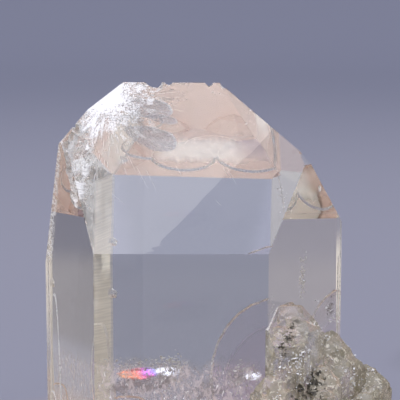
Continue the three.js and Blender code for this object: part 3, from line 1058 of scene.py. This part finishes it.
# A big soft window above and in front, which the crystal's front tip face mirrors to the camera.
WINDOW_TOWARD = Vector((0.0, -0.36, 0.933))
WINDOW_REACH = math.radians(44)
WINDOW_LIGHT = (2.05, 2.2, 2.8)
FLOOR_GAP = 0.03 * MM
# Sectors and rings of the floor. Turns are in degrees from straight behind the crystal, positive to
# the right, and distances in millimetres. Each pair is where a fade starts and where it ends.
BEHIND = (-50, -44), (52, 65)
ASIDE, AHEAD = (85, 106), (116, 128)
# Painted shade: the floor behind on the right is darkened there.
RIGHT_BACK, RIGHT_BACK_FROM = ((18, 26), (36, 46)), (70, 95)
LEFT_BACK, LEFT_BACK_FROM = ((-62, -52), (-37, -33)), (80, 110)
# Painted shadow: the floor right behind the crystal is darker, as the crystal's own shadow.
SHADOW_BEHIND, SHADOW_BEHIND_UP_TO = ((-19, -15), (1.5, 4.5)), (180, 215)
CLOSE_BEHIND = (44, 56)
FRONT_BRIGHTENS = (52, 66)
BACKDROP = (170, 215)
FAR = (150, 800)
# The floor's size, and the upward bend around it, in metres.
FLOOR_RADIUS, FLOOR_INSET = 0.9, 0.6
FLOOR_BEND, BEND_STEPS = 0.35, 10
# Light of the room from the front to the back.
ROOM_LIGHT = [(0.15, (0.80, 0.76, 0.72)), (0.55, (0.74, 0.70, 0.67)), (0.9, (0.36, 0.36, 0.43))]
LAMP_PLACE = Vector((-0.35, -0.30, 1.1))
LAMP_SIZE = 0.7
LAMP_POWER = 3.0
LAMP_COLOUR = (1.0, 0.97, 0.93)
BOUNCES, GLOSSY_BOUNCES = 24, 12


class StageLook(PropertyGroup):
    floor_blue: tint("Floor behind", "Blue grey of the floor behind", (0.255, 0.255, 0.298))
    floor_far: tint("Floor, far away", "Darker blue grey of the far floor", (0.185, 0.19, 0.235))
    floor_cream: tint("Floor beside", "Pale cream of the floor beside the crystal", (0.66, 0.59, 0.48))
    floor_front: tint("Floor in front", "Warm grey of the floor in front", (0.42, 0.395, 0.36))
    # Painted shadow of the crystal on the floor right behind it.
    floor_painted_shadow: tint("Floor right behind", "Floor seen only through the crystal", (0.213, 0.215, 0.248))
    floor_side: tint("Floor at the sides", "Warm grey of the floor at both sides", (0.34, 0.315, 0.295))
    floor_ahead: tint("Floor farther in front", "Bright cream farther in front", (0.46, 0.43, 0.395))
    # Painted shade on the floor behind on the right.
    floor_painted_shade: tint("Floor, back right", "Darker grey behind on the right", (0.150, 0.146, 0.164))
    floor_mauve: tint("Floor, back left", "Warmer grey behind on the left", (0.262, 0.242, 0.250))
    floor_near: tint("Floor, close behind", "Pink grey close behind the crystal", (0.35, 0.28, 0.255))
    camera_reach: FloatProperty(
        name="Camera distance", description="From the crystal's middle to the camera",
        default=210.1 * MM, min=0.01, unit="LENGTH")
    camera_turn: FloatProperty(
        name="Camera turn", description="Turn to the right of straight in front",
        default=math.radians(6.57), subtype="ANGLE")
    camera_lift: FloatProperty(
        name="Camera lift", description="Height of the camera above level",
        default=math.radians(8.65), subtype="ANGLE")
    lens: FloatProperty(
        name="Lens", description="Focal length on a 36 mm sensor", default=135.1, min=10.0)


def floor_material(look):
    """A plain floor in broad tones: each face of the crystal shows another part of it."""
    paint = new_paint("studio_floor")
    x, y, _ = paint.parts_of(paint.place())
    turn = x.bearing(y) * math.degrees(1)
    away = (x * x + y * y) ** 0.5
    back = paint.blend(away.ease(*FAR), look.floor_blue, look.floor_far)
    # Painted shade darkens the floor behind on the right.
    back = paint.blend(turn.between(*RIGHT_BACK) * away.ease(*RIGHT_BACK_FROM), back, look.floor_painted_shade)
    back = paint.blend(turn.between(*LEFT_BACK) * away.ease(*LEFT_BACK_FROM), back, look.floor_mauve)
    # Painted shadow: the crystal's own shadow darkens the floor right behind it.
    painted_shadow = turn.between(*SHADOW_BEHIND) * away.fade(*SHADOW_BEHIND_UP_TO)
    back = paint.blend(painted_shadow, back, look.floor_painted_shadow)
    back = paint.blend(away.fade(*CLOSE_BEHIND), back, look.floor_near)
    around = paint.blend(turn.size().ease(*ASIDE), look.floor_cream, look.floor_side)
    bright = paint.blend(away.ease(*FRONT_BRIGHTENS), look.floor_front, look.floor_ahead)
    around = paint.blend(turn.size().ease(*AHEAD), around, bright)
    behind = (turn.between(*BEHIND) + away.ease(*BACKDROP)).held()
    return paint.closed(paint.principled({
        "Base Color": paint.blend(behind, around, back), "Roughness": 0.8, "Specular IOR Level": 0.1,
    }))


def make_floor(material):
    """A round floor that curves up into a low wall, all one smooth sweep."""
    clear_selection()
    bpy.ops.mesh.primitive_circle_add(
        vertices=128, radius=FLOOR_RADIUS, fill_type="NGON", location=(0, 0, LOW.z - FLOOR_GAP))
    floor = bpy.context.object
    edit(floor)
    bpy.ops.mesh.inset(thickness=FLOOR_INSET)
    bpy.ops.mesh.select_all(action="DESELECT")
    leave_edit()
    for edge in floor.data.edges:
        ends = [floor.data.vertices[i].co for i in edge.vertices]
        edge.select = all(end.xy.length > 0.99 * FLOOR_RADIUS for end in ends)
    make_active(floor)
    bpy.ops.object.mode_set(mode="EDIT")
    bpy.ops.mesh.select_mode(type="EDGE")
    angles = [math.pi / 2 * step / BEND_STEPS for step in range(BEND_STEPS + 1)]
    for last, now in zip(angles, angles[1:]):
        radii = [FLOOR_RADIUS + FLOOR_BEND * math.sin(angle) for angle in (last, now)]
        grow = radii[1] / radii[0]
        bpy.ops.mesh.extrude_region_move()
        bpy.ops.transform.resize(value=(grow, grow, 1))
        bpy.ops.transform.translate(value=(0, 0, FLOOR_BEND * (math.cos(last) - math.cos(now))))
    leave_edit()
    bpy.ops.object.shade_smooth()
    settle(floor, "studio_floor")
    floor.data.materials.append(material)


def add_to_scene(name, data, place, toward):
    """A lamp or camera at a place, looking in the direction given."""
    holder = bpy.data.objects.new(name, data)
    bpy.context.collection.objects.link(holder)
    holder.location = place
    holder.rotation_euler = toward.to_track_quat("-Z", "Y").to_euler()
    return holder


def make_lamp():
    """A soft lamp high up, in front on the left."""
    lamp = bpy.data.lights.new("soft_top", "AREA")
    lamp.shape = "SQUARE"
    lamp.size = LAMP_SIZE
    lamp.energy = LAMP_POWER
    lamp.color = LAMP_COLOUR
    add_to_scene("soft_top", lamp, LAMP_PLACE, AXIS - LAMP_PLACE)


def make_sky(scene):
    """Light of the room all around, and the window in it."""
    scene.world = bpy.data.worlds.new("studio")
    scene.world.use_nodes = True
    paint = Paint(scene.world.node_tree, scene.world)
    facing = paint.node("ShaderNodeTexCoord", output="Generated")
    _, y, _ = paint.parts_of(facing)
    room = paint.ramp((y + 1.0) / 2.0, ROOM_LIGHT)
    window = paint.dot(facing, WINDOW_TOWARD).ease(math.cos(WINDOW_REACH), math.cos(WINDOW_REACH * 0.4))
    light = {"Color": paint.blend(window, room, WINDOW_LIGHT), "Strength": 1.0}
    surface = paint.node("ShaderNodeBackground", None, light)
    paint.node("ShaderNodeOutputWorld", None, {"Surface": surface})


class QUARTZ_OT_stage(Operator):
    """Set the plain pale floor, the soft light and the camera"""
    bl_idname = "quartz.stage"
    bl_label = "Studio"

    def execute(self, context):
        scene = context.scene
        look = scene.quartz_stage
        make_floor(floor_material(look))
        make_sky(scene)
        make_lamp()
        camera = bpy.data.cameras.new("camera")
        camera.sensor_width = 36.0
        camera.lens = look.lens
        camera.clip_start = 0.005
        back = face_normal(math.degrees(look.camera_turn), math.degrees(look.camera_lift))
        scene.camera = add_to_scene("camera", camera, AXIS + back * look.camera_reach, -back)
        scene.view_settings.view_transform = "Standard"
        scene.cycles.max_bounces = BOUNCES
        scene.cycles.transmission_bounces = BOUNCES
        scene.cycles.transparent_max_bounces = BOUNCES
        scene.cycles.glossy_bounces = GLOSSY_BOUNCES
        return {"FINISHED"}


class QUARTZ_PT_panel(Panel):
    """The pieces of the crystal and its studio"""
    bl_label = "Quartz crystal"
    bl_idname = "QUARTZ_PT_panel"
    bl_space_type = "VIEW_3D"
    bl_region_type = "UI"
    bl_category = "Quartz"

    def draw(self, context):
        for operator in STEPS:
            self.layout.operator(operator.bl_idname)
        for name in SETTINGS:
            settings = getattr(context.scene, name)
            for prop in settings.bl_rna.properties:
                if prop.identifier not in ("name", "rna_type"):
                    self.layout.prop(settings, prop.identifier)


STEPS = (
    QUARTZ_OT_stage, QUARTZ_OT_crystal, QUARTZ_OT_feathers, QUARTZ_OT_veils, QUARTZ_OT_flecks,
    QUARTZ_OT_scratches, QUARTZ_OT_inclusions, QUARTZ_OT_rainbow,
)
SETTINGS = {"quartz_sizes": QuartzSizes, "quartz_colours": QuartzColours, "quartz_stage": StageLook}
CLASSES = (*SETTINGS.values(), *STEPS, QUARTZ_PT_panel)


def register():
    for item in CLASSES:
        bpy.utils.register_class(item)
    for name, group in SETTINGS.items():
        setattr(bpy.types.Scene, name, PointerProperty(type=group))


def unregister():
    for name in SETTINGS:
        delattr(bpy.types.Scene, name)
    for item in reversed(CLASSES):
        bpy.utils.unregister_class(item)


def main():
    register()
    for step in STEPS:
        group, name = step.bl_idname.split(".")
        getattr(getattr(bpy.ops, group), name)()


if __name__ == "__main__":
    main()
